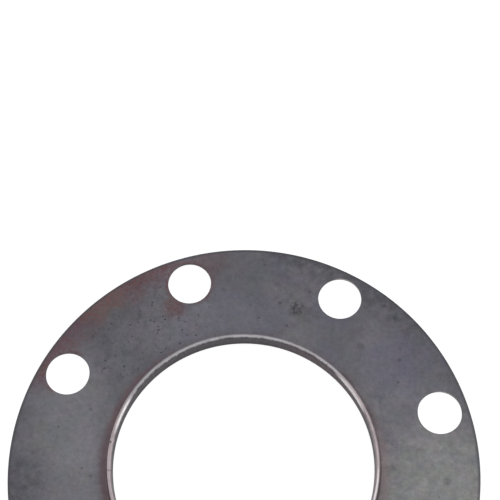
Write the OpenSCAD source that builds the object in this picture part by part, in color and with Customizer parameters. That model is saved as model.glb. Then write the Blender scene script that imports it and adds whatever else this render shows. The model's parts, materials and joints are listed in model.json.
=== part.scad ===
// Pressed ring flange: a thin flat ring with eight bolt holes, and a short
// collar that is drawn up out of the sheet round a large open bore.
// Millimetres. The origin is the centre of the flat underside, which is the
// face that seals, and +Z runs along the bore axis towards the collar's end.
// The real flange is one pressing. It is built as three solids that meet face
// to face at the two ends of the bend: the flat ring, the bend and the wall.

/* [Plate] */
// Outside diameter of the flat ring
plate_od = 200; // [196:1:230]
// Thickness of the sheet
sheet_t = 2; // [1.5:0.1:3]

/* [Collar] */
// Outside diameter of the collar, the size of a 4 inch tube
collar_od = 114.3; // [100:0.1:120]
// Height of the collar's end above the plate's upper face
collar_rise = 9; // [7:0.5:12]
// Radius of the hollow bend between the plate's upper face and the collar
bend_r = 2; // [1:0.5:5]
// Radius that rounds the two edges of the collar's end
lip_r = 0.6; // [0.2:0.1:0.7]

/* [Bolt holes] */
// Diameter of the circle through the bolt holes' centres
bolt_pcd = 175; // [160:1:176]
// Diameter of each bolt hole
bolt_hole_d = 19; // [11:0.5:19]
// Number of bolt holes
bolt_count = 8; // [4:1:12]

/* [Hidden] */
$fn = 180;

// The collar's outer and inner wall radii
collar_r = collar_od / 2;
bore_r = collar_r - sheet_t;
// Both arcs of the bend share one centre, so the sheet keeps its thickness
outer_bend_r = bend_r + sheet_t;
bend_line_r = collar_r + bend_r;
collar_top = sheet_t + collar_rise;
// The holes straddle the X and Y axes, as flange bolting does
bolt_angle = 360 / bolt_count;
// Extra length that carries a cut past the faces it goes through
cut_over = 1;

// Flat ring, from the bend line out to the rim
module flange_plate() {
    color([0.36, 0.36, 0.38])
    difference() {
        cylinder(h = sheet_t, r = plate_od / 2);
        translate([0, 0, -cut_over])
            cylinder(h = sheet_t + 2 * cut_over, r = bend_line_r);
        for (i = [0 : bolt_count - 1])
            rotate([0, 0, (i + 0.5) * bolt_angle])
                translate([bolt_pcd / 2, 0, -cut_over])
                    cylinder(h = sheet_t + 2 * cut_over, d = bolt_hole_d);
    }
}

// The sheet as it turns from flat to upright, a quarter ring in section
module bend_ring() {
    color([0.40, 0.36, 0.37])
    rotate_extrude()
        intersection() {
            translate([bend_line_r, outer_bend_r])
                difference() {
                    circle(r = outer_bend_r);
                    circle(r = bend_r);
                }
            translate([bore_r, 0])
                square([outer_bend_r, outer_bend_r]);
        }
}

// Upright wall in section, with both edges of its end rounded
module wall_section() {
    translate([bore_r, outer_bend_r])
        square([sheet_t, collar_top - lip_r - outer_bend_r]);
    translate([bore_r + lip_r, collar_top - lip_r])
        square([sheet_t - 2 * lip_r, lip_r]);
    for (edge_r = [bore_r + lip_r, collar_r - lip_r])
        intersection() {
            translate([edge_r, collar_top - lip_r])
                circle(r = lip_r);
            translate([bore_r, collar_top - lip_r])
                square([sheet_t, lip_r]);
        }
}

// Upright wall of the collar, turned about the bore axis
module collar_wall() {
    color([0.62, 0.58, 0.58])
    rotate_extrude()
        wall_section();
}

flange_plate();
bend_ring();
collar_wall();
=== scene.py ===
"""Pressed ring flange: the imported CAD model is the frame, and this script gives it its looks.

The three CAD nodes are replaced by two finer meshes of the same shape: one is the flat ring, and the other
is the collar, which is the bend and the wall together. The sheet's punched edges, its slight waviness and
the collar's rounded end are modelled, and the bare steel is two procedural materials. Everything is in
metres, in the CAD frame: the bore axis is Z, and the sealing face is at Z = 0.
"""

import json
import math

import bmesh
import bpy
from mathutils import Matrix, Vector


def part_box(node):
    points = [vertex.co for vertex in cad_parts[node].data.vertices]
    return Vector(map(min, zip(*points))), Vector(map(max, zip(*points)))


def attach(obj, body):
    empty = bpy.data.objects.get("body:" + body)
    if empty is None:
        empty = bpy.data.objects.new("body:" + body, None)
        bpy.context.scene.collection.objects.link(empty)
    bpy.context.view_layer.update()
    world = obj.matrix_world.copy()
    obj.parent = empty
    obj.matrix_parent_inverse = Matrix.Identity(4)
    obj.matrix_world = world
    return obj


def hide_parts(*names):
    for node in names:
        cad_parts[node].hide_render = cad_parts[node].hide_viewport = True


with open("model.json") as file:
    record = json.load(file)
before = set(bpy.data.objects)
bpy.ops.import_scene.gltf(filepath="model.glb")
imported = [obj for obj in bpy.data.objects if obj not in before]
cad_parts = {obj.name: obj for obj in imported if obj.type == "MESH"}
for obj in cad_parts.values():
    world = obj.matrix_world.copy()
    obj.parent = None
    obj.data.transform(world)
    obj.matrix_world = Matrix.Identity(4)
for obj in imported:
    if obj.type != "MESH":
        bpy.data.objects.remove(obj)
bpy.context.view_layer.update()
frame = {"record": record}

MM = 0.001

# Driving dimensions, all read from the frame.
mounts = {mount["name"]: mount for mount in frame["record"]["mounts"]}
PLATE_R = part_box("flange_plate")[1].x
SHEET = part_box("flange_plate")[1].z
BEND_LINE_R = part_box("bend_ring")[1].x
COLLAR_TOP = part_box("collar_wall")[1].z
COLLAR_R = mounts["collar_outside"]["dims"]["r_mm"] * MM
BORE_R = mounts["collar_bore"]["dims"]["r_mm"] * MM
BOLT_CIRCLE_R = mounts["bolt_holes"]["dims"]["pcd_mm"] * MM / 2
HOLE_R = mounts["bolt_holes"]["dims"]["hole_r_mm"] * MM
HOLE_COUNT = mounts["bolt_holes"]["dims"]["count"]
BEND_R = BEND_LINE_R - COLLAR_R
WALL_END = mounts["collar_bore"]["pos_m"][2] + mounts["collar_bore"]["dims"]["length_mm"] * MM / 2
LIP = COLLAR_TOP - WALL_END
SECTOR = 2 * math.pi / HOLE_COUNT

# Small departures from the CAD shape, all of them inside the whole model's box.
TRIM = 0.05 * MM        # worn off the outer rim
ROLL = 0.22 * MM        # rollover where the punch went in
TEAR = 0.05 * MM        # how far a punched edge leans back into the metal below its middle
BREAK = 0.12 * MM       # broken edge where the punch came out
SHEET_WAVE = 0.05 * MM  # height of the sheet's slight waviness, upwards
WAVE_RUN = 12 * MM      # from the bend line out to where the waviness reaches its full height

# How finely the meshes are divided.
SECTOR_STEPS = 72       # round one sector, along the rim and round the collar
SIDE_STEPS = 22         # along each straight side of a sector
INNER_STEPS = 36        # round one sector, along the bend line
HOLE_BANDS = 12         # from a hole out to its sector's edge
CROWDING = 1.25         # power that crowds those bands towards the hole
ROLL_STEPS = 5
BEND_STEPS = 12
LIP_STEPS = 6
WALL_STEPS = 5
END_STEPS = 4
WELD = 1e-7             # points closer than this become one
SHARP_ANGLE = 35        # degrees between faces, above which an edge is shaded sharp


# ---------------------------------------------------------------- camera, lights and floor

# The camera's place, in plate radii from the centre of the plate's upper face.
CAMERA_PLACE = Vector((0.2911, -1.6190, 6.3807))
CAMERA_AZIMUTH = 8.203   # degrees that the view is turned about Z
CAMERA_DOWN = 67.510     # degrees that the view looks below the horizon
CAMERA_ROLL = -1.887     # degrees about the line of sight
CAMERA_LENS = 111.02     # mm
CAMERA_SENSOR = 36.0     # mm
CAMERA_CLIP = 0.01       # nearest distance that is drawn

DAYLIGHT = (0.9, 0.92, 0.95, 1)
DAYLIGHT_STRENGTH = 0.35
FLOOR_SIZE = 3.0         # from the middle to each side
FLOOR_GAP = 0.2 * MM     # how far the floor lies below the sealing face
FLOOR_GREY = (0.30, 0.30, 0.30, 1)
FLOOR_GLOW = 0.90        # most of the floor's white is its own light, which keeps shadows faint


def make_camera():
    data = bpy.data.cameras.new("photo_camera")
    data.sensor_width = CAMERA_SENSOR
    data.lens = CAMERA_LENS
    data.clip_start = CAMERA_CLIP
    camera = bpy.data.objects.new("photo_camera", data)
    bpy.context.collection.objects.link(camera)
    turn = Matrix.Rotation(math.radians(CAMERA_AZIMUTH), 4, "Z")
    tilt = Matrix.Rotation(math.radians(90 - CAMERA_DOWN), 4, "X")
    roll = Matrix.Rotation(math.radians(CAMERA_ROLL), 4, "Z")
    place = Matrix.Translation(CAMERA_PLACE * PLATE_R + Vector((0, 0, SHEET)))
    camera.matrix_world = place @ turn @ tilt @ roll
    bpy.context.scene.camera = camera


def area_light(name, azimuth, elevation, distance, size, power, colour=(1, 1, 1)):
    """A square soft box that faces the part, which sees it at that azimuth and elevation in degrees."""
    data = bpy.data.lights.new(name, "AREA")
    data.shape = "SQUARE"
    data.size = size
    data.energy = power
    data.color = colour
    light = bpy.data.objects.new(name, data)
    bpy.context.collection.objects.link(light)
    a, e = math.radians(azimuth), math.radians(elevation)
    place = Vector((math.cos(a) * math.cos(e), math.sin(a) * math.cos(e), math.sin(e))) * distance
    light.location = place
    light.rotation_mode = "QUATERNION"
    light.rotation_quaternion = (-place).to_track_quat("-Z", "Y")


def make_lights():
    area_light("overhead_soft_box", azimuth=60, elevation=78, distance=1.2, size=1.1, power=3.2)
    area_light("right_soft_box", azimuth=-25, elevation=45, distance=1.0, size=0.6, power=2.2,
               colour=(1.0, 0.98, 0.96))
    area_light("left_soft_box", azimuth=170, elevation=35, distance=1.0, size=0.5, power=1.1,
               colour=(0.96, 0.98, 1.0))
    world = bpy.data.worlds.new("studio")
    world.use_nodes = True
    background = world.node_tree.nodes["Background"]
    background.inputs["Color"].default_value = DAYLIGHT
    background.inputs["Strength"].default_value = DAYLIGHT_STRENGTH
    bpy.context.scene.world = world
    bpy.context.scene.view_settings.view_transform = "Standard"


def make_floor():
    """A plain white studio floor that the flange lies on."""
    bm = bmesh.new()
    bmesh.ops.create_grid(bm, x_segments=8, y_segments=8, size=FLOOR_SIZE)
    mesh = bpy.data.meshes.new("floor")
    bm.to_mesh(mesh)
    bm.free()
    floor = bpy.data.objects.new("floor", mesh)
    floor.location.z = -FLOOR_GAP
    bpy.context.collection.objects.link(floor)
    g = Graph("white_floor")
    g.shader.inputs["Base Color"].default_value = FLOOR_GREY
    g.shader.inputs["Roughness"].default_value = 1.0
    g.shader.inputs["Emission Color"].default_value = (1, 1, 1, 1)
    g.shader.inputs["Emission Strength"].default_value = FLOOR_GLOW
    mesh.materials.append(g.material)


# ---------------------------------------------------------------- material building

BLOTCH_GRAIN = 9 * MM    # size of the bays in a blotch's ragged edge
HOLE_GRAIN = 3.5 * MM    # and in the rust's edge round a bolt hole


class Graph:
    """Short calls that add nodes to one material. Sizes are in metres, places in the CAD frame."""

    def __init__(self, name):
        self.material = bpy.data.materials.new(name)
        self.material.use_nodes = True
        self.tree = self.material.node_tree
        self.shader = self.tree.nodes["Principled BSDF"]
        self.place = None

    def add(self, kind, **settings):
        node = self.tree.nodes.new(kind)
        for key, value in settings.items():
            setattr(node, key, value)
        return node

    def feed(self, socket, value):
        if isinstance(value, bpy.types.NodeSocket):
            self.tree.links.new(value, socket)
        else:
            socket.default_value = value

    def position(self):
        """The point on the surface, in the object's own coordinates, which are the CAD frame's."""
        if self.place is None:
            self.place = self.add("ShaderNodeTexCoord").outputs["Object"]
        return self.place

    def math(self, operation, *values):
        node = self.add("ShaderNodeMath", operation=operation)
        for socket, value in zip(node.inputs, values):
            self.feed(socket, value)
        return node.outputs[0]

    def vector(self, operation, *values):
        node = self.add("ShaderNodeVectorMath", operation=operation)
        for socket, value in zip(node.inputs, values):
            self.feed(socket, value)
        return node.outputs["Value" if operation in ("LENGTH", "DISTANCE", "DOT_PRODUCT") else "Vector"]

    def axes(self):
        """X, Y and Z of the point, as three sockets."""
        node = self.add("ShaderNodeSeparateXYZ")
        self.feed(node.inputs[0], self.position())
        return node.outputs

    def radius(self):
        """Distance from the bore axis."""
        return self.vector("LENGTH", self.vector("MULTIPLY", self.position(), (1, 1, 0)))

    def noise(self, size, detail=4.0, rough=0.55, shift=0.0, warp=0.0, stretch=(1, 1, 1)):
        """Cloudy noise from 0 to 1, whose blobs are about that size; each shift gives other clouds."""
        where = self.vector("MULTIPLY", self.position(), stretch)
        where = self.vector("ADD", where, (shift, 2 * shift, 0.5 * shift))
        node = self.add("ShaderNodeTexNoise")
        self.feed(node.inputs["Vector"], where)
        node.inputs["Scale"].default_value = 1 / size
        node.inputs["Detail"].default_value = detail
        node.inputs["Roughness"].default_value = rough
        node.inputs["Distortion"].default_value = warp
        return node.outputs["Fac"]

    def cells(self, size, shift):
        """Scattered points: the distance to the nearest, in cell sizes, and a random colour for it."""
        node = self.add("ShaderNodeTexVoronoi")
        self.feed(node.inputs["Vector"], self.vector("ADD", self.position(), (shift, shift, shift)))
        node.inputs["Scale"].default_value = 1 / size
        return node.outputs["Distance"], node.outputs["Color"]

    def step(self, value, low, high):
        """Smooth step from 0 at low to 1 at high; low may be above high."""
        node = self.add("ShaderNodeMapRange", interpolation_type="SMOOTHSTEP")
        flip = low > high
        self.feed(node.inputs["Value"], value)
        node.inputs["From Min"].default_value = min(low, high)
        node.inputs["From Max"].default_value = max(low, high)
        node.inputs["To Min"].default_value = 1.0 if flip else 0.0
        node.inputs["To Max"].default_value = 0.0 if flip else 1.0
        return node.outputs["Result"]

    def scale(self, value, low, high):
        """A value from 0 to 1, brought to the range from low to high."""
        return self.math("MULTIPLY_ADD", value, high - low, low)

    def mix(self, factor, a, b, blend="MIX"):
        node = self.add("ShaderNodeMix", data_type="RGBA", blend_type=blend, clamp_factor=True)
        self.feed(node.inputs["Factor"], factor)
        for socket, value in ((node.inputs[6], a), (node.inputs[7], b)):
            self.feed(socket, value if isinstance(value, bpy.types.NodeSocket) else (*value, 1.0))
        return node.outputs[2]

    def blotch(self, azimuth, radius, size, ragged=0.6):
        """1 inside a soft, ragged blotch at that azimuth in degrees and radius in plate radii, else 0."""
        a = math.radians(azimuth)
        centre = (math.cos(a) * radius * PLATE_R, math.sin(a) * radius * PLATE_R, 0)
        flat = self.vector("MULTIPLY", self.position(), (1, 1, 0))
        away = self.math("DIVIDE", self.vector("DISTANCE", flat, centre), size)
        edge = self.scale(self.noise(BLOTCH_GRAIN, 5, 0.65, shift=azimuth * 0.01), -ragged, ragged)
        return self.step(self.math("ADD", away, edge), 1.25, 0.35)

    def wedge(self, azimuth, half_width, fade):
        """1 within half_width degrees of that azimuth, fading to 0 over the next fade degrees."""
        a = math.radians(azimuth)
        flat = self.vector("NORMALIZE", self.vector("MULTIPLY", self.position(), (1, 1, 0)))
        along = self.vector("DOT_PRODUCT", flat, (math.cos(a), math.sin(a), 0))
        inner, outer = math.cos(math.radians(half_width)), math.cos(math.radians(half_width + fade))
        return self.step(along, outer, inner)

    def product(self, first, *others):
        """All the values multiplied together."""
        for value in others:
            first = self.math("MULTIPLY", first, value)
        return first

    def most(self, first, *others):
        """The largest of the values."""
        for value in others:
            first = self.math("MAXIMUM", first, value)
        return first

    def tint(self, colour, red, green, blue):
        """The colour with each channel multiplied by its own value."""
        node = self.add("ShaderNodeCombineColor")
        for socket, value in zip(node.inputs, (red, green, blue)):
            self.feed(socket, value)
        return self.mix(1.0, colour, node.outputs[0], "MULTIPLY")

    def bump(self, height, depth, normal=None):
        """Bump of that depth in metres, on top of another bump's normal if one is given."""
        node = self.add("ShaderNodeBump")
        node.inputs["Strength"].default_value = 1.0
        node.inputs["Distance"].default_value = depth
        self.feed(node.inputs["Height"], height)
        if normal is not None:
            self.feed(node.inputs["Normal"], normal)
        return node.outputs["Normal"]


# Colours are linear. Bare steel with its rolling scale, what lies on it, and the painted light and shade.
SCALE_GREY = (0.156, 0.151, 0.169)
SCALE_DARK = (0.094, 0.092, 0.103)
SCALE_LIGHT = (0.220, 0.213, 0.234)
VIOLET = (0.156, 0.147, 0.194)
GREEN_GREY = (0.160, 0.172, 0.168)
PALE_GREY = (0.275, 0.270, 0.288)
WARM_GREY = (0.340, 0.327, 0.325)
WORN_GREEN = (0.298, 0.310, 0.285)
RUST = (0.178, 0.074, 0.080)
RUST_ORANGE = (0.215, 0.100, 0.090)
HEAT_BROWN = (0.180, 0.114, 0.124)
# The next two are painted: a lit brown for the bend, and the shade in its hollow.
BEND_PAINTED_LIGHT = (0.285, 0.225, 0.225)
HOLLOW_PAINTED_SHADE = (0.088, 0.060, 0.063)
PIT_BLACK = (0.030, 0.029, 0.032)
PAINTED_LIT_WALL = (0.36, 0.33, 0.34)
WALL_UPPER = (0.098, 0.091, 0.103)
WALL_LOWER = (0.062, 0.056, 0.064)
END_GREY = (0.46, 0.44, 0.46)
END_PINK = (0.52, 0.44, 0.45)
END_DULL = (0.27, 0.235, 0.245)
# The white of the painted highlights.
PAINTED_HIGHLIGHT = (0.95, 0.90, 0.90)


def clouded_scale(g):
    """The colour that the whole sheet shares: clouds of light, dark, violet and green grey."""
    broad = g.noise(38 * MM, 3, 0.5, shift=0.3)
    middle = g.noise(9 * MM, 5, 0.6, shift=1.7, warp=0.6)
    violet = g.step(g.noise(22 * MM, 3, 0.5, shift=4.1), 0.5, 0.66)
    green = g.step(g.noise(19 * MM, 3, 0.5, shift=6.3), 0.52, 0.68)
    colour = g.mix(g.step(broad, 0.35, 0.68), SCALE_GREY, SCALE_LIGHT)
    colour = g.mix(g.product(g.step(middle, 0.5, 0.72), 0.45), colour, SCALE_DARK)
    colour = g.mix(g.product(violet, 0.5), colour, VIOLET)
    return g.mix(g.product(green, 0.3), colour, GREEN_GREY)


def finely_mottled(g, colour):
    """The colour with fine mottling in its shade, and fainter mottling in its hue."""
    shade = g.scale(g.noise(2.4 * MM, 6, 0.82, shift=2.9), 0.52, 1.48)
    red = g.product(shade, g.scale(g.noise(6.5 * MM, 6, 0.78, shift=7.7), 0.83, 1.17))
    blue = g.product(shade, g.scale(g.noise(5.5 * MM, 6, 0.78, shift=11.9), 0.84, 1.16))
    return g.tint(colour, red, shade, blue)


def pits(g, size, share, chance, shift):
    """1 in small scattered pits. One cell in so many has a pit, which fills up to that share of it."""
    distance, random_colour = g.cells(size, shift)
    lot = g.add("ShaderNodeSeparateColor")
    g.feed(lot.inputs[0], random_colour)
    reach = g.scale(g.step(lot.outputs[0], 1 - chance, 1.0), -0.12, share)
    ragged = g.scale(g.noise(0.7 * size, 3, 0.6, shift=shift), -0.12, 0.12)
    return g.step(g.math("SUBTRACT", g.math("ADD", distance, ragged), reach), 0.08, -0.08)


def from_hole(g, azimuth, ragged):
    """The distance from the centre of the bolt hole at that azimuth, made uneven by up to ragged."""
    a = math.radians(azimuth)
    centre = (math.cos(a) * BOLT_CIRCLE_R, math.sin(a) * BOLT_CIRCLE_R, 0)
    away = g.vector("DISTANCE", g.vector("MULTIPLY", g.position(), (1, 1, 0)), centre)
    return g.math("ADD", away, g.scale(g.noise(HOLE_GRAIN, 4, 0.7, shift=azimuth * 0.03), -ragged, ragged))


def hole_side(g, azimuth, side):
    """How far the point lies from a bolt hole's centre towards side, an azimuth about that centre."""
    a, b = math.radians(azimuth), math.radians(side)
    across = g.vector("DOT_PRODUCT", g.position(), (math.cos(b), math.sin(b), 0))
    return g.math("SUBTRACT", across, BOLT_CIRCLE_R * math.cos(a - b))


def hole_ring(g, azimuth, side):
    """1 in a ragged ring round half of the bolt hole at that azimuth, the half that lies towards side."""
    ring = g.step(from_hole(g, azimuth, 2.2 * MM), HOLE_R + 2.6 * MM, HOLE_R + 0.2 * MM)
    return g.product(ring, g.step(hole_side(g, azimuth, side), -0.3 * HOLE_R, 0.3 * HOLE_R))


def painted_lit_crescent(g, azimuth, side):
    """1 on the part of a bolt hole's wall that lies towards side, an azimuth about the hole's centre, where
    light is painted on the wall.
    """
    near = g.step(from_hole(g, azimuth, 0.0), HOLE_R + 0.5 * MM, HOLE_R + 0.3 * MM)
    return g.product(near, g.step(hole_side(g, azimuth, side), 0.55 * HOLE_R, 0.92 * HOLE_R))


def below_face(g, depth):
    """1 on the sheet's cut edges, at least that far below its upper face and above its lower one."""
    height = g.axes()[2]
    return g.product(g.step(height, SHEET - 0.3 * depth, SHEET - depth), g.step(height, 0.02 * MM, 0.2 * MM))


def bend_brown_and_painted_shading(g, colour, radius):
    """The colour, browned near the bend: strongest on it and at the left, fading out over the plate, with a
    lighter brown painted as light at the right and painted shade in the bend's hollow.
    """
    ragged = g.scale(g.noise(5 * MM, 4, 0.6, shift=21), -1.6 * MM, 1.6 * MM)
    ragged_r = g.math("ADD", radius, ragged)
    near = g.step(ragged_r, BEND_LINE_R + 4.0 * MM, BEND_LINE_R + 0.6 * MM)
    left, right = g.wedge(187, 40, 30), g.wedge(-3, 20, 26)
    # Painted light: the brown turns lighter at the right, to lift the shade that the collar casts there.
    tint = g.mix(g.wedge(0, 8, 25), HEAT_BROWN, BEND_PAINTED_LIGHT)
    strength = g.product(near, g.most(g.product(left, 0.75), g.product(right, 0.55), 0.15))
    colour = g.mix(strength, colour, tint)
    # Painted shade: darkest of all in the hollow of the bend, along one stretch of it, over the brown there.
    hollow_shade = g.step(ragged_r, BEND_LINE_R + 1.4 * MM, BEND_LINE_R + 0.2 * MM)
    return g.mix(g.product(hollow_shade, g.wedge(42, 10, 12), 0.45), colour, HOLLOW_PAINTED_SHADE)


def left_and_right(g):
    """1 at the left and right of the ring, falling to 0 in between."""
    return g.most(g.wedge(187, 18, 20), g.wedge(-3, 35, 25))


def worn_scale(g):
    """Clouded scale, violet where it is thickest, and worn thin on two sides: one pale, one warmer."""
    violet = g.most(
        g.blotch(94, 0.67, 17 * MM),
        g.blotch(42, 0.79, 17 * MM),
        g.product(g.blotch(115, 0.66, 12 * MM), 0.7))
    colour = g.mix(g.product(violet, 0.6), clouded_scale(g), VIOLET)
    pale = g.most(
        g.blotch(178, 0.74, 24 * MM),
        g.product(g.blotch(190, 0.74, 22 * MM), 0.8),
        g.product(g.blotch(166, 0.79, 18 * MM), 0.7),
        g.product(g.blotch(104, 0.66, 20 * MM), 0.4))
    colour = g.mix(g.product(pale, 0.6), colour, PALE_GREY)
    colour = g.mix(g.product(g.blotch(176, 0.82, 8 * MM), 0.3), colour, GREEN_GREY)
    worn = g.most(g.blotch(-3, 0.86, 40 * MM), g.blotch(-28, 0.8, 42 * MM))
    patchy = g.scale(g.step(g.noise(5 * MM, 5, 0.7, shift=5.2), 0.25, 0.75), 0.35, 1.15)
    bare = g.mix(g.step(g.noise(8 * MM, 4, 0.65, shift=9.4), 0.42, 0.60), WARM_GREY, WORN_GREEN)
    return g.mix(g.product(worn, patchy, 0.8), colour, bare)


def smoke(g, radius):
    """How smoky the sheet is: dark stretches along the rim, and dark smudges."""
    ragged_r = g.math("ADD", radius, g.scale(g.noise(11 * MM, 4, 0.6, shift=8), -9 * MM, 9 * MM))
    along_rim = g.product(
        g.step(ragged_r, 0.84 * PLATE_R, 1.0 * PLATE_R),
        g.most(g.wedge(54, 5, 14), g.wedge(75, 9, 9), g.product(g.wedge(32, 12, 10), 0.4)))
    smudges = g.most(
        g.product(g.blotch(189, 0.94, 14 * MM, 0.8), 0.75),
        g.product(g.blotch(134, 0.88, 24 * MM, 0.8), 0.4),
        g.product(g.blotch(76, 0.75, 8 * MM, 0.9), 0.5),
        g.product(g.blotch(78, 0.82, 11 * MM), 0.4),
        g.product(g.blotch(6, 0.61, 3.5 * MM, 0.9), 0.5),
        g.product(g.blotch(2.5, 0.86, 2.4 * MM, 0.4), 0.5))
    uneven = g.scale(g.step(g.noise(3.6 * MM, 4, 0.7, shift=8.8), 0.32, 0.68), 0.35, 1.2)
    return g.product(g.most(along_rim, smudges), uneven)


def rust(g, radius):
    """How rusty the sheet is: from the rim between two holes, and round their edges."""
    creep_r = g.math("ADD", radius, g.scale(g.noise(8 * MM, 6, 0.7, shift=3), -11 * MM, 11 * MM))
    creep = g.step(creep_r, 0.86 * PLATE_R, 0.985 * PLATE_R)
    patches = g.most(
        g.product(creep, g.wedge(139, 20, 9)),
        g.product(g.blotch(119, 0.79, 6 * MM, 1.0), 0.8),
        g.product(g.blotch(106, 0.93, 9 * MM, 1.2), 0.45),
        g.product(hole_ring(g, 112.5, 150), 0.9),
        g.product(hole_ring(g, 112.5, 20), 0.7),
        g.product(hole_ring(g, 157.5, 150), 0.8))
    flecks = g.step(g.noise(1.3 * MM, 4, 0.7, shift=9), 0.38, 0.62)
    return g.product(patches, g.scale(flecks, 0.4, 1.0))


def pitting(g):
    """1 in the sheet's pits: a few everywhere, many in one quarter, and one cluster of larger ones."""
    crowd = g.most(g.blotch(124, 0.76, 26 * MM), g.blotch(142, 0.78, 18 * MM))
    few = g.product(pits(g, 4.2 * MM, 0.16, 0.3, 0.4), 0.6)
    specks = g.step(g.noise(1.5 * MM, 3, 0.6, shift=13.7), 0.63, 0.72)
    many = g.product(g.most(pits(g, 2.1 * MM, 0.22, 0.5, 1.3), specks), crowd, 1.35)
    larger = g.step(g.noise(2.2 * MM, 3, 0.6, shift=16.1), 0.44, 0.58)
    cluster = g.product(larger, g.blotch(78.3, 0.757, 3.6 * MM, 0.5), 1.3)
    return g.most(few, many, cluster)


def sheet_material():
    """Bare hot-rolled sheet: dull, dark, mottled, with pits, smoky edges, rust and worn sides, and painted
    light on two holes' walls.
    """
    g = Graph("scaled_steel")
    radius = g.radius()
    rusty = rust(g, radius)
    pitted = pitting(g)
    cut = below_face(g, 0.15 * MM)

    colour = g.mix(g.product(smoke(g, radius), 0.8), worn_scale(g), SCALE_DARK)
    rust_colour = g.mix(g.blotch(135, 0.95, 12 * MM, 0.8), RUST, RUST_ORANGE)
    colour = g.mix(g.product(rusty, 0.95), colour, rust_colour)
    # A thin dark line runs along the rim's edge.
    line = g.step(radius, PLATE_R - 1.8 * MM, PLATE_R - 0.5 * MM)
    colour = g.mix(g.product(line, 0.7), colour, SCALE_DARK)
    colour = finely_mottled(g, bend_brown_and_painted_shading(g, colour, radius))
    colour = g.mix(g.product(pitted, 0.55), colour, PIT_BLACK)
    # The cut edges are dark, but for painted light: bright crescents on the lit walls of two of the holes.
    colour = g.mix(g.product(cut, 0.7), colour, SCALE_DARK)
    bright = g.product(cut, g.most(painted_lit_crescent(g, 67.5, 60), painted_lit_crescent(g, 22.5, 60)))
    colour = g.mix(bright, colour, PAINTED_LIT_WALL)

    g.feed(g.shader.inputs["Base Color"], colour)
    dull = g.most(rusty, g.product(pitted, 0.8), cut)
    g.feed(g.shader.inputs["Metallic"], g.scale(dull, 0.75, 0.15))
    g.feed(g.shader.inputs["Specular IOR Level"], g.scale(cut, 0.5, 0.15))
    rough = g.scale(g.noise(6 * MM, 5, 0.6, shift=12), 0.42, 0.60)
    g.feed(g.shader.inputs["Roughness"], g.math("ADD", rough, g.product(dull, 0.25)))
    waves = g.bump(g.noise(17 * MM, 2, 0.4, shift=15), 0.10 * MM)
    grain = g.bump(g.noise(0.7 * MM, 5, 0.7, shift=18), 0.03 * MM, waves)
    g.feed(g.shader.inputs["Normal"], g.bump(g.math("SUBTRACT", 1.0, pitted), 0.12 * MM, grain))
    return g.material


def end_arc(g, azimuth, half_width, fade, inset, half_line):
    """1 in a stretch of line along the collar's end: inset is its distance in from the collar's outside."""
    away = g.math("ABSOLUTE", g.math("SUBTRACT", g.radius(), COLLAR_R - inset))
    upper = g.step(g.axes()[2], COLLAR_TOP - 1.2 * LIP, COLLAR_TOP - 0.6 * LIP)
    return g.product(upper, g.step(away, half_line, 0.3 * half_line), g.wedge(azimuth, half_width, fade))


def bore_wall_colour(g, height, streaks):
    """The wall inside the bore: darker downwards, with upright draw marks."""
    wall = g.mix(g.step(height, SHEET + BEND_R, COLLAR_TOP), WALL_LOWER, WALL_UPPER)
    shade = g.scale(streaks, 0.5, 1.5)
    return g.tint(wall, shade, shade, shade)


def end_short_of_shaded_roll(g, radius, height, sides):
    """1 on the collar's end, but for a ragged strip where it rolls over into the bore, which is left dark as
    painted shade; the strip is narrower at the left and right, where the side light falls on it.
    """
    ragged = g.scale(g.noise(2.6 * MM, 4, 0.7, shift=30), -0.9 * MM, 0.9 * MM)
    in_from = g.math("ADD", g.math("ADD", radius, ragged), g.product(sides, 0.45 * MM))
    return g.product(
        g.step(height, COLLAR_TOP - 0.8 * LIP, COLLAR_TOP - 0.4 * LIP),
        g.step(in_from, BORE_R - 0.05 * MM, BORE_R + 0.95 * MM))


def painted_highlight_stretches(g):
    """1 where a highlight is painted bright on the collar's end, in three stretches."""
    return g.most(
        end_arc(g, 164, 2, 8, 1.5 * MM, 0.7 * MM),
        end_arc(g, 40, 5, 7, 1.85 * MM, 0.75 * MM),
        g.product(end_arc(g, -4, 4, 6, 0.8 * MM, 0.5 * MM), 0.7))


def end_colour(g, sides):
    """The end's grey, pinker at the left and right of the ring, with dull smut on it."""
    smut = g.product(g.step(g.noise(3.2 * MM, 5, 0.65, shift=33), 0.44, 0.7), 0.4)
    return g.mix(smut, g.mix(sides, END_GREY, END_PINK), END_DULL)


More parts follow.
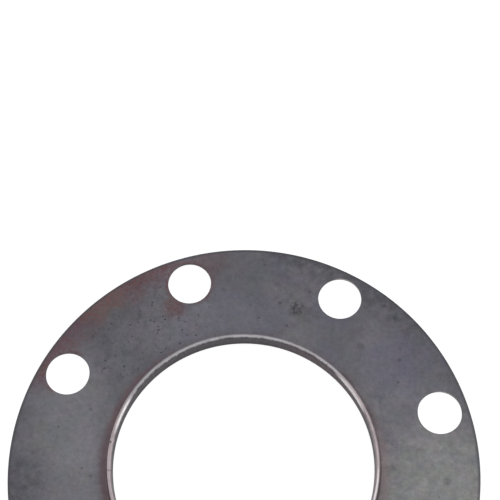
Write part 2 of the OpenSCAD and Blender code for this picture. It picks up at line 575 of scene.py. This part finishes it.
def collar_material():
    """The drawn sheet: brown tint at the bend, dark streaked wall, and a bright rounded end with painted
    highlights and painted shade.
    """
    g = Graph("drawn_steel")
    radius = g.radius()
    height = g.axes()[2]
    sides = left_and_right(g)
    streaks = g.noise(1.1 * MM, 4, 0.65, shift=24, stretch=(1, 1, 0.25))
    # 1 on the bore's side of the sheet, falling to 0 towards the bend line.
    inside = g.step(radius, BEND_LINE_R - 0.4 * MM, BORE_R + 0.8 * MM)
    end = end_short_of_shaded_roll(g, radius, height, sides)
    highlight_mask = painted_highlight_stretches(g)
    # A nick in the end's outer edge, and a faint scratch across it.
    nick = g.blotch(177.1, (COLLAR_R - 0.5 * MM) / PLATE_R, 0.55 * MM, 0.2)
    scratch = g.product(end, g.wedge(189.5, 0.08, 0.30), 0.4)
    marks = g.most(nick, scratch)

    colour = finely_mottled(g, bend_brown_and_painted_shading(g, clouded_scale(g), radius))
    colour = g.mix(g.product(inside, 0.96), colour, bore_wall_colour(g, height, streaks))
    # Dirt inside the bore, and one stretch that is browner.
    dirt = g.product(inside, g.step(g.noise(1.4 * MM, 5, 0.7, shift=27), 0.56, 0.68))
    colour = g.mix(g.product(dirt, 0.75), colour, PIT_BLACK)
    colour = g.mix(g.product(inside, g.wedge(52, 14, 20), 0.25), colour, HEAT_BROWN)
    # The end's colour stops short of the rolled-over strip, which keeps the wall's dark colour as painted
    # shade.
    colour = g.mix(end, colour, end_colour(g, sides))
    # Painted light: two stretches where the rolled-over edge is lit lighter.
    painted_lit_roll = g.most(end_arc(g, 203, 8, 8, 1.8 * MM, 0.6 * MM), end_arc(g, 8, 24, 8, 1.7 * MM, 0.8 * MM))
    colour = g.mix(g.product(painted_lit_roll, 0.8), colour, END_DULL)
    # Painted highlights on the collar's end.
    colour = g.mix(g.product(highlight_mask, 0.95), colour, PAINTED_HIGHLIGHT)
    colour = g.mix(g.product(marks, 0.7), colour, PIT_BLACK)

    g.feed(g.shader.inputs["Base Color"], colour)
    bright = g.most(end, highlight_mask)
    dull_inside = g.product(inside, g.math("SUBTRACT", 1.0, bright))
    g.feed(g.shader.inputs["Metallic"], g.scale(dull_inside, 0.8, 0.0))
    g.feed(g.shader.inputs["Specular IOR Level"], g.scale(dull_inside, 0.5, 0.03))
    rough = g.scale(g.noise(2.5 * MM, 4, 0.6, shift=36), 0.40, 0.58)
    g.feed(g.shader.inputs["Roughness"], g.math("SUBTRACT", rough, g.product(bright, 0.12)))
    draw_marks = g.bump(g.product(streaks, inside), 0.05 * MM)
    dents = g.bump(g.math("SUBTRACT", 1.0, marks), 0.15 * MM, draw_marks)
    g.feed(g.shader.inputs["Normal"], g.bump(g.noise(0.6 * MM, 5, 0.7, shift=39), 0.03 * MM, dents))
    return g.material


# ---------------------------------------------------------------- meshes

def sheet_wave(x, y):
    """Slight waviness of the sheet, from 0 to SHEET_WAVE, flat at the bend line: three crossing swells."""
    swell = math.sin(41 * x + 23 * y) + math.sin(67 * y - 31 * x + 1.1) + math.sin(29 * x - 53 * y + 2.3)
    away = min(1.0, max(0.0, (math.hypot(x, y) - BEND_LINE_R) / WAVE_RUN))
    return SHEET_WAVE * (0.5 + swell / 6) * away * away * (3 - 2 * away)


def outline_of_sector(rim_r):
    """Points round one sector of the plate, from the bend line out to rim_r, with the hole on +X."""
    half = SECTOR / 2
    points = []
    for i in range(SECTOR_STEPS):
        a = -half + SECTOR * i / SECTOR_STEPS
        points.append(("rim", rim_r * math.cos(a), rim_r * math.sin(a)))
    for i in range(SIDE_STEPS):
        r = rim_r + (BEND_LINE_R - rim_r) * i / SIDE_STEPS
        points.append(("side", r * math.cos(half), r * math.sin(half)))
    for i in range(INNER_STEPS):
        a = half - SECTOR * i / INNER_STEPS
        points.append(("bend", BEND_LINE_R * math.cos(a), BEND_LINE_R * math.sin(a)))
    for i in range(SIDE_STEPS):
        r = BEND_LINE_R + (rim_r - BEND_LINE_R) * i / SIDE_STEPS
        points.append(("side", r * math.cos(half), -r * math.sin(half)))
    return points


def quarter_turn(steps):
    """Angles from 0 to a quarter turn, in that many steps."""
    return [math.pi / 2 * k / steps for k in range(steps + 1)]


def punched_section():
    """Section of a punched edge from the top face to the bottom: (distance into the metal, height)."""
    rolled = [(ROLL * (1 - math.sin(t)), SHEET - ROLL * (1 - math.cos(t))) for t in quarter_turn(ROLL_STEPS)]
    torn = [(0.0, 0.5 * SHEET), (0.6 * TEAR, 0.3 * SHEET), (TEAR, BREAK), (TEAR + BREAK, 0.0)]
    return rolled + torn


def add_loops(bm, loops, closed_across=True):
    """Joins equal loops of points with quads; each loop runs round the same way."""
    rows = [[bm.verts.new(p) for p in loop] for loop in loops]
    count = len(rows[0])
    last = count if closed_across else count - 1
    for row, following in zip(rows, rows[1:]):
        for i in range(last):
            j = (i + 1) % count
            bm.faces.new((row[i], row[j], following[j], following[i]))


def finish_mesh(name, bm, material):
    """Welds, faces outwards, shades smooth but for sharp edges, and makes the object."""
    bmesh.ops.remove_doubles(bm, verts=bm.verts, dist=WELD)
    bmesh.ops.recalc_face_normals(bm, faces=bm.faces)
    mesh = bpy.data.meshes.new(name)
    bm.to_mesh(mesh)
    bm.free()
    mesh.materials.append(material)
    mesh.shade_smooth()
    mesh.set_sharp_from_angle(angle=math.radians(SHARP_ANGLE))
    piece = bpy.data.objects.new(name, mesh)
    bpy.context.collection.objects.link(piece)
    return piece


def placed(turn, flat, height):
    """A point of the first sector, turned into its own sector and raised by the sheet's waviness."""
    x, y = turn @ flat
    return x, y, height + sheet_wave(x, y)


def hole_loops(turn, top_outline, under_outline, section):
    """Loops from one sector's edge over the top to its hole, down through it and back out underneath."""
    hole = Vector((BOLT_CIRCLE_R, 0))
    land, under = section[0][0], section[-1][0]
    top_points = [Vector(point[1:]) for point in top_outline]
    under_points = [Vector(point[1:]) for point in under_outline]
    rays = [(point - hole).normalized() for point in top_points]
    bands = [(k / HOLE_BANDS) ** CROWDING for k in range(HOLE_BANDS + 1)]
    loops = []
    for t in reversed(bands):
        loops.append([placed(turn, (hole + ray * (HOLE_R + land)).lerp(point, t), SHEET)
                      for ray, point in zip(rays, top_points)])
    for inset, height in section[1:-1]:
        loops.append([placed(turn, hole + ray * (HOLE_R + inset), height) for ray in rays])
    for t in bands:
        loops.append([placed(turn, (hole + ray * (HOLE_R + under)).lerp(point, t), 0)
                      for ray, point in zip(rays, under_points)])
    return loops


def run_of(outline, side):
    """The outline's points along one side of a sector, up to and with the next side's first point."""
    indices = [i for i, point in enumerate(outline) if point[0] == side]
    return [Vector(outline[i][1:]) for i in indices + [indices[-1] + 1]]


def plate_mesh():
    """The flat ring: in each sector, loops of quads run from a punched hole out to the sector's edge."""
    section = punched_section()
    rim_r = PLATE_R - TRIM
    top_outline = outline_of_sector(rim_r - section[0][0])
    under_outline = outline_of_sector(rim_r - section[-1][0])
    rim = [point.normalized() for point in run_of(top_outline, "rim")]
    bend_line = run_of(top_outline, "bend")
    bm = bmesh.new()
    for s in range(HOLE_COUNT):
        turn = Matrix.Rotation(SECTOR * (s + 0.5), 2)
        add_loops(bm, hole_loops(turn, top_outline, under_outline, section))
        rim_loops = [[placed(turn, outward * (rim_r - inset), height) for outward in rim]
                     for inset, height in section]
        add_loops(bm, rim_loops, closed_across=False)
        inner_loops = [[placed(turn, point, height) for point in bend_line] for height in (0, SHEET)]
        add_loops(bm, inner_loops, closed_across=False)
    return bm


def collar_section():
    """The collar's section, from the plate's top face round to its underside: (radius, height)."""
    centre_h = SHEET + BEND_R
    outer_bend = BEND_R + SHEET
    straight = COLLAR_TOP - LIP - centre_h
    flat_end = SHEET - 2 * LIP
    points = []
    for t in quarter_turn(BEND_STEPS):
        points.append((BEND_LINE_R - BEND_R * math.sin(t), centre_h - BEND_R * math.cos(t)))
    for k in range(1, WALL_STEPS):
        points.append((COLLAR_R, centre_h + straight * k / WALL_STEPS))
    for t in quarter_turn(LIP_STEPS):
        points.append((COLLAR_R - LIP * (1 - math.cos(t)), COLLAR_TOP - LIP * (1 - math.sin(t))))
    for k in range(1, END_STEPS):
        points.append((COLLAR_R - LIP - flat_end * k / END_STEPS, COLLAR_TOP))
    for t in quarter_turn(LIP_STEPS):
        points.append((BORE_R + LIP * (1 - math.sin(t)), COLLAR_TOP - LIP * (1 - math.cos(t))))
    for k in range(1, WALL_STEPS):
        points.append((BORE_R, COLLAR_TOP - LIP - straight * k / WALL_STEPS))
    for t in reversed(quarter_turn(BEND_STEPS)):
        points.append((BEND_LINE_R - outer_bend * math.sin(t), centre_h - outer_bend * math.cos(t)))
    return points


def collar_mesh():
    """The collar's section, turned about the bore axis in fine steps."""
    turns = HOLE_COUNT * SECTOR_STEPS
    angles = [2 * math.pi * i / turns for i in range(turns)]
    loops = []
    for radius, height in collar_section():
        loops.append([(radius * math.cos(a), radius * math.sin(a), height) for a in angles])
    loops.append(loops[0])
    bm = bmesh.new()
    add_loops(bm, loops)
    return bm


# ---------------------------------------------------------------- build

make_camera()
make_lights()
make_floor()

plate = finish_mesh("ring_plate", plate_mesh(), sheet_material())
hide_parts("flange_plate")
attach(plate, "root")

collar = finish_mesh("collar", collar_mesh(), collar_material())
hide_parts("bend_ring", "collar_wall")
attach(collar, "root")
